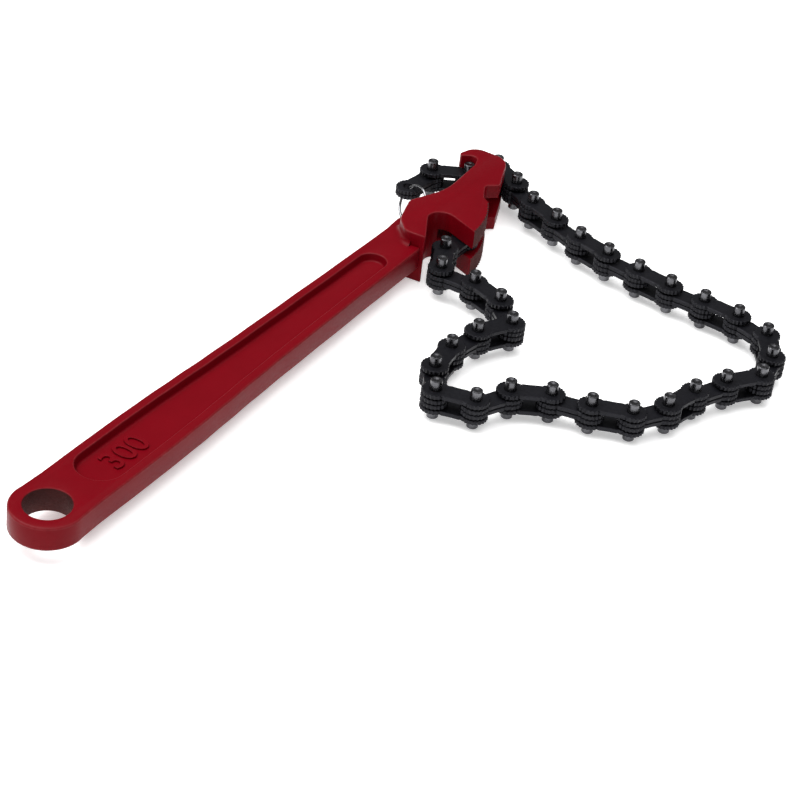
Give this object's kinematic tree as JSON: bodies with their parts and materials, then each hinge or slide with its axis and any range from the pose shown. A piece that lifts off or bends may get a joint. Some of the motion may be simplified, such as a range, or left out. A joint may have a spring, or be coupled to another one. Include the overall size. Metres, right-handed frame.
{
  "type": "chain pipe wrench",
  "caption": "Chain pipe wrench with a forged handle, a forked head with a toothed jaw and a hook, and a chain that is pinned in the fork and hooked round its front.",
  "frame": {"origin": "underside of the head, on the anchor pin's axis", "axes": "+X along the handle towards the hook, +Y towards the side where the hook opens, +Z along the chain's pins"},
  "size_m": [0.3343, 0.1946, 0.022],
  "materials": {
    "red_paint": "gloss",
    "pin_steel": "satin",
    "inner_plate": "satin",
    "outer_plate": "satin",
    "wire_steel": "gloss"
  },
  "bodies": {
    "forging": {"handle": "red_paint", "anchor_pin": "pin_steel"},
    "link_01": {"inner_link_01": "inner_plate"},
    "link_02": {"pin_plate_02": "outer_plate", "cover_plate_02": "outer_plate"},
    "link_03": {"inner_link_03": "inner_plate"},
    "link_04": {"pin_plate_04": "outer_plate", "cover_plate_04": "outer_plate"},
    "link_05": {"inner_link_05": "inner_plate"},
    "link_06": {"pin_plate_06": "outer_plate", "cover_plate_06": "outer_plate"},
    "link_07": {"inner_link_07": "inner_plate"},
    "link_08": {"pin_plate_08": "outer_plate", "cover_plate_08": "outer_plate"},
    "link_09": {"inner_link_09": "inner_plate"},
    "link_10": {"pin_plate_10": "outer_plate", "cover_plate_10": "outer_plate"},
    "link_11": {"inner_link_11": "inner_plate"},
    "link_12": {"pin_plate_12": "outer_plate", "cover_plate_12": "outer_plate"},
    "link_13": {"inner_link_13": "inner_plate"},
    "link_14": {"pin_plate_14": "outer_plate", "cover_plate_14": "outer_plate"},
    "link_15": {"inner_link_15": "inner_plate"},
    "link_16": {"pin_plate_16": "outer_plate", "cover_plate_16": "outer_plate"},
    "link_17": {"inner_link_17": "inner_plate"},
    "link_18": {"pin_plate_18": "outer_plate", "cover_plate_18": "outer_plate"},
    "link_19": {"inner_link_19": "inner_plate"},
    "link_20": {"pin_plate_20": "outer_plate", "cover_plate_20": "outer_plate"},
    "link_21": {"inner_link_21": "inner_plate"},
    "link_22": {"pin_plate_22": "outer_plate", "cover_plate_22": "outer_plate"},
    "link_23": {"inner_link_23": "inner_plate"},
    "link_24": {"pin_plate_24": "outer_plate", "cover_plate_24": "outer_plate"},
    "link_25": {"inner_link_25": "inner_plate"},
    "link_26": {"pin_plate_26": "outer_plate", "cover_plate_26": "outer_plate"},
    "link_27": {"inner_link_27": "inner_plate"},
    "link_28": {"pin_plate_28": "outer_plate", "cover_plate_28": "outer_plate"},
    "link_29": {"inner_link_29": "inner_plate"},
    "link_30": {"pin_plate_30": "outer_plate", "cover_plate_30": "outer_plate"},
    "link_31": {"inner_link_31": "inner_plate"},
    "link_32": {"pin_plate_32": "outer_plate", "cover_plate_32": "outer_plate"},
    "link_33": {"inner_link_33": "inner_plate"},
    "ring": {"split_ring": "wire_steel"}
  },
  "joints": [
    {"name": "chain_pivot", "type": "hinge", "parent": "forging", "child": "link_01", "pos_m": [0, 0, 0.0109], "axis": [0, 0, 1], "range_deg": [0, 5.97]},
    {"name": "pin_pivot_02", "type": "hinge", "parent": "link_01", "child": "link_02", "pos_m": [-0.01587, 0.00055, 0.0106], "axis": [0, 0, 1], "range_deg": [0, 12.66]},
    {"name": "pin_pivot_03", "type": "hinge", "parent": "link_02", "child": "link_03", "pos_m": [-0.03025, -0.00615, 0.0103], "axis": [0, 0, 1], "range_deg": [0, 4.44]},
    {"name": "pin_pivot_04", "type": "hinge", "parent": "link_03", "child": "link_04", "pos_m": [-0.02998, -0.02203, 0.01], "axis": [0, 0, 1], "range_deg": [0, 2.62]},
    {"name": "pin_pivot_05", "type": "hinge", "parent": "link_04", "child": "link_05", "pos_m": [-0.03514, -0.03704, 0.0097], "axis": [0, 0, 1], "range_deg": [-3.19, 0]},
    {"name": "pin_pivot_06", "type": "hinge", "parent": "link_05", "child": "link_06", "pos_m": [-0.04597, -0.04865, 0.0094], "axis": [0, 0, 1], "range_deg": [-3.01, 0]},
    {"name": "pin_pivot_07", "type": "hinge", "parent": "link_06", "child": "link_07", "pos_m": [-0.05986, -0.04095, 0.0091], "axis": [0, 0, 1], "range_deg": [-52.03, 0]},
    {"name": "pin_pivot_08", "type": "hinge", "parent": "link_07", "child": "link_08", "pos_m": [-0.07549, -0.03819, 0.0088], "axis": [0, 0, 1], "range_deg": [-75.67, 0]},
    {"name": "pin_pivot_09", "type": "hinge", "parent": "link_08", "child": "link_09", "pos_m": [-0.09125, -0.04013, 0.0085], "axis": [0, 0, 1], "range_deg": [-55.22, 0]},
    {"name": "pin_pivot_10", "type": "hinge", "parent": "link_09", "child": "link_10", "pos_m": [-0.10471, -0.04854, 0.0085], "axis": [0, 0, 1], "range_deg": [-11.76, 0]},
    {"name": "pin_pivot_11", "type": "hinge", "parent": "link_10", "child": "link_11", "pos_m": [-0.1006, -0.06388, 0.0085], "axis": [0, 0, 1], "range_deg": [0, 63.52]},
    {"name": "pin_pivot_12", "type": "hinge", "parent": "link_11", "child": "link_12", "pos_m": [-0.08633, -0.07083, 0.0085], "axis": [0, 0, 1], "range_deg": [0, 57.36]},
    {"name": "pin_pivot_13", "type": "hinge", "parent": "link_12", "child": "link_13", "pos_m": [-0.07816, -0.08444, 0.0085], "axis": [0, 0, 1], "range_deg": [0, 33.49]},
    {"name": "pin_pivot_14", "type": "hinge", "parent": "link_13", "child": "link_14", "pos_m": [-0.07458, -0.09991, 0.0085], "axis": [0, 0, 1], "range_deg": [0, 16.36]},
    {"name": "pin_pivot_15", "type": "hinge", "parent": "link_14", "child": "link_15", "pos_m": [-0.06864, -0.11463, 0.0085], "axis": [0, 0, 1], "range_deg": [0, 4.96]},
    {"name": "pin_pivot_16", "type": "hinge", "parent": "link_15", "child": "link_16", "pos_m": [-0.05518, -0.12304, 0.0085], "axis": [0, 0, 1], "range_deg": [0, 3.5]},
    {"name": "pin_pivot_17", "type": "hinge", "parent": "link_16", "child": "link_17", "pos_m": [-0.03977, -0.12688, 0.0085], "axis": [0, 0, 1], "range_deg": [0, 30.7]},
    {"name": "pin_pivot_18", "type": "hinge", "parent": "link_17", "child": "link_18", "pos_m": [-0.02538, -0.13359, 0.0085], "axis": [0, 0, 1], "range_deg": [0, 6.21]},
    {"name": "pin_pivot_19", "type": "hinge", "parent": "link_18", "child": "link_19", "pos_m": [-0.01254, -0.14292, 0.0085], "axis": [0, 0, 1], "range_deg": [-21.93, 0]},
    {"name": "pin_pivot_20", "type": "hinge", "parent": "link_19", "child": "link_20", "pos_m": [0.00314, -0.14044, 0.0085], "axis": [0, 0, 1], "range_deg": [-30.63, 0]},
    {"name": "pin_pivot_21", "type": "hinge", "parent": "link_20", "child": "link_21", "pos_m": [0.0166, -0.13203, 0.0085], "axis": [0, 0, 1], "range_deg": [-30.94, 0]},
    {"name": "pin_pivot_22", "type": "hinge", "parent": "link_21", "child": "link_22", "pos_m": [0.02151, -0.11693, 0.0085], "axis": [0, 0, 1], "range_deg": [-18.32, 0]},
    {"name": "pin_pivot_23", "type": "hinge", "parent": "link_22", "child": "link_23", "pos_m": [0.02261, -0.10109, 0.0088], "axis": [0, 0, 1], "range_deg": [-7.42, 0]},
    {"name": "pin_pivot_24", "type": "hinge", "parent": "link_23", "child": "link_24", "pos_m": [0.02289, -0.08522, 0.0091], "axis": [0, 0, 1], "range_deg": [0, 2.65]},
    {"name": "pin_pivot_25", "type": "hinge", "parent": "link_24", "child": "link_25", "pos_m": [0.02483, -0.06946, 0.0094], "axis": [0, 0, 1], "range_deg": [0, 4.5]},
    {"name": "pin_pivot_26", "type": "hinge", "parent": "link_25", "child": "link_26", "pos_m": [0.02704, -0.05374, 0.0097], "axis": [0, 0, 1], "range_deg": [0, 10.45]},
    {"name": "pin_pivot_27", "type": "hinge", "parent": "link_26", "child": "link_27", "pos_m": [0.03088, -0.03834, 0.01], "axis": [0, 0, 1], "range_deg": [0, 18.13]},
    {"name": "pin_pivot_28", "type": "hinge", "parent": "link_27", "child": "link_28", "pos_m": [0.03657, -0.02352, 0.0103], "axis": [0, 0, 1], "range_deg": [0, 32.03]},
    {"name": "pin_pivot_29", "type": "hinge", "parent": "link_28", "child": "link_29", "pos_m": [0.04251, -0.0088, 0.0106], "axis": [0, 0, 1], "range_deg": [0, 53.69]},
    {"name": "pin_pivot_30", "type": "hinge", "parent": "link_29", "child": "link_30", "pos_m": [0.05139, 0.00436, 0.0109], "axis": [0, 0, 1], "range_deg": [0, 62.62]},
    {"name": "pin_pivot_31", "type": "hinge", "parent": "link_30", "child": "link_31", "pos_m": [0.05909, 0.01825, 0.0109], "axis": [0, 0, 1], "range_deg": [-25.55, 0]},
    {"name": "hooked_pin_pivot", "type": "hinge", "parent": "link_31", "child": "link_32", "pos_m": [0.04458, 0.0247, 0.0109], "axis": [0, 0, 1], "range_deg": [-94.58, 0]},
    {"name": "end_link_pivot", "type": "hinge", "parent": "link_32", "child": "link_33", "pos_m": [0.03617, 0.03816, 0.0106], "axis": [0, 0, 1], "range_deg": [-70, 0]},
    {"name": "ring_pivot", "type": "hinge", "parent": "link_33", "child": "ring", "pos_m": [0.02045, 0.04038, 0.0106], "axis": [0, 0, 1], "range_deg": [-100, 0]}
  ],
  "couplings": [
    {"joint": "pin_pivot_02", "follows": "chain_pivot", "ratio": 2.1138},
    {"joint": "pin_pivot_03", "follows": "chain_pivot", "ratio": 0.73619},
    {"joint": "pin_pivot_04", "follows": "chain_pivot", "ratio": 0.43148},
    {"joint": "pin_pivot_05", "follows": "chain_pivot", "ratio": -0.52699},
    {"joint": "pin_pivot_06", "follows": "chain_pivot", "ratio": -0.4958},
    {"joint": "pin_pivot_07", "follows": "chain_pivot", "ratio": -8.7129},
    {"joint": "pin_pivot_08", "follows": "chain_pivot", "ratio": -12.676},
    {"joint": "pin_pivot_09", "follows": "chain_pivot", "ratio": -9.248},
    {"joint": "pin_pivot_10", "follows": "chain_pivot", "ratio": -1.9629},
    {"joint": "pin_pivot_11", "follows": "chain_pivot", "ratio": 10.639},
    {"joint": "pin_pivot_12", "follows": "chain_pivot", "ratio": 9.6066},
    {"joint": "pin_pivot_13", "follows": "chain_pivot", "ratio": 5.6059},
    {"joint": "pin_pivot_14", "follows": "chain_pivot", "ratio": 2.7335},
    {"joint": "pin_pivot_15", "follows": "chain_pivot", "ratio": 0.82333},
    {"joint": "pin_pivot_16", "follows": "chain_pivot", "ratio": 0.57881},
    {"joint": "pin_pivot_17", "follows": "chain_pivot", "ratio": 5.1369},
    {"joint": "pin_pivot_18", "follows": "chain_pivot", "ratio": 1.0319},
    {"joint": "pin_pivot_19", "follows": "chain_pivot", "ratio": -3.6667},
    {"joint": "pin_pivot_20", "follows": "chain_pivot", "ratio": -5.1259},
    {"joint": "pin_pivot_21", "follows": "chain_pivot", "ratio": -5.1781},
    {"joint": "pin_pivot_22", "follows": "chain_pivot", "ratio": -3.0624},
    {"joint": "pin_pivot_23", "follows": "chain_pivot", "ratio": -1.2348},
    {"joint": "pin_pivot_24", "follows": "chain_pivot", "ratio": 0.43511},
    {"joint": "pin_pivot_25", "follows": "chain_pivot", "ratio": 0.74604},
    {"joint": "pin_pivot_26", "follows": "chain_pivot", "ratio": 1.7434},
    {"joint": "pin_pivot_27", "follows": "chain_pivot", "ratio": 3.031},
    {"joint": "pin_pivot_28", "follows": "chain_pivot", "ratio": 5.3599},
    {"joint": "pin_pivot_29", "follows": "chain_pivot", "ratio": 8.991},
    {"joint": "pin_pivot_30", "follows": "chain_pivot", "ratio": 10.487},
    {"joint": "pin_pivot_31", "follows": "chain_pivot", "ratio": -4.2742},
    {"joint": "hooked_pin_pivot", "follows": "chain_pivot", "ratio": -15.845}
  ]
}
